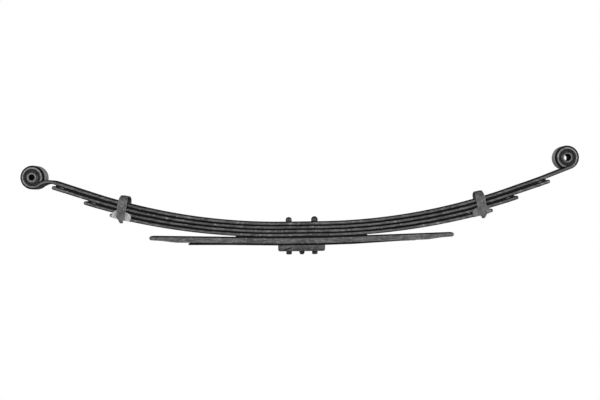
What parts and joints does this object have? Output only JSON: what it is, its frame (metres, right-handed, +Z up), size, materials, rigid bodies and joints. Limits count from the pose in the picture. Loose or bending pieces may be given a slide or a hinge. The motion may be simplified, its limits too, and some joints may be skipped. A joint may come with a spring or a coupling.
{
  "type": "leaf spring",
  "caption": "Semi-elliptic multi-leaf spring pack with bushed eyes, rebound clips, a straight overload leaf and a seat spacer block, for a light truck's rear axle.",
  "frame": {"origin": "on the centre dowel's axis, at the underside of the spacer block", "axes": "+X along the spring towards the shackle (rear, upturned) eye, +Y across the leaves, +Z up through the pack"},
  "size_m": [1.4007, 0.0836, 0.2652],
  "materials": {
    "leaf_paint": "satin black paint, faintly mottled over scale",
    "clip_steel": "worn dark grey paint",
    "fastener_steel": "dull black oxide",
    "pale_liner": "pale grey moulded plastic",
    "grey_liner": "mid grey moulded plastic",
    "slip_plastic": "thin black moulded strip",
    "pad_plastic": "grey moulded plastic",
    "bush_shell": "dull pressed steel",
    "bush_rubber": "moulded black rubber",
    "sleeve_steel": "bare machined steel"
  },
  "bodies": {
    "centre_pack": {"main_leaf": "leaf_paint", "second_leaf": "leaf_paint", "third_leaf": "leaf_paint", "fourth_leaf": "leaf_paint", "seat_shim": "fastener_steel", "overload_leaf": "leaf_paint", "lower_helper_leaf": "leaf_paint", "spacer_block": "leaf_paint", "centre_dowel": "fastener_steel", "front_through_bolt": "fastener_steel", "rear_through_bolt": "fastener_steel", "front_bolt_nut": "fastener_steel", "rear_bolt_nut": "fastener_steel"},
    "front_end": {"front_slip_liner_1": "slip_plastic", "front_slip_liner_2": "slip_plastic", "front_slip_liner_3": "slip_plastic", "front_rebound_clip": "clip_steel", "front_clip_liner": "pale_liner", "second_leaf_front_tip_pad": "pad_plastic", "third_leaf_front_tip_pad": "pad_plastic", "front_bush_outer_shell": "bush_shell", "front_bush_rubber": "bush_rubber"},
    "rear_end": {"rear_slip_liner_1": "slip_plastic", "rear_slip_liner_2": "slip_plastic", "rear_slip_liner_3": "slip_plastic", "rear_rebound_clip": "clip_steel", "rear_clip_liner": "grey_liner", "second_leaf_rear_tip_pad": "pad_plastic", "third_leaf_rear_tip_pad": "pad_plastic", "rear_bush_outer_shell": "bush_shell", "rear_bush_rubber": "bush_rubber"},
    "front_sleeve": {"front_bush_inner_sleeve": "sleeve_steel"},
    "rear_sleeve": {"rear_bush_inner_sleeve": "sleeve_steel"}
  },
  "joints": [
    {"name": "front_flex", "type": "hinge", "parent": "centre_pack", "child": "front_end", "pos_m": [-0.2, 0, 0.06], "axis": [0, -1, 0], "range_deg": [-2, 8], "stiffness_Nm_per_rad": 2000, "deforming": ["main_leaf", "second_leaf", "third_leaf", "fourth_leaf", "front_slip_liner_1", "front_slip_liner_2", "front_slip_liner_3"]},
    {"name": "rear_flex", "type": "hinge", "parent": "centre_pack", "child": "rear_end", "pos_m": [0.2, 0, 0.06], "axis": [0, 1, 0], "range_deg": [-2, 8], "stiffness_Nm_per_rad": 2000, "deforming": ["main_leaf", "second_leaf", "third_leaf", "fourth_leaf", "rear_slip_liner_1", "rear_slip_liner_2", "rear_slip_liner_3"]},
    {"name": "front_sleeve_twist", "type": "hinge", "parent": "front_end", "child": "front_sleeve", "pos_m": [-0.67285, 0, 0.19314], "axis": [0, 1, 0], "range_deg": [-15, 15], "stiffness_Nm_per_rad": 0.8},
    {"name": "rear_sleeve_twist", "type": "hinge", "parent": "rear_end", "child": "rear_sleeve", "pos_m": [0.66805, 0, 0.22613], "axis": [0, 1, 0], "range_deg": [-15, 15], "stiffness_Nm_per_rad": 0.8}
  ]
}
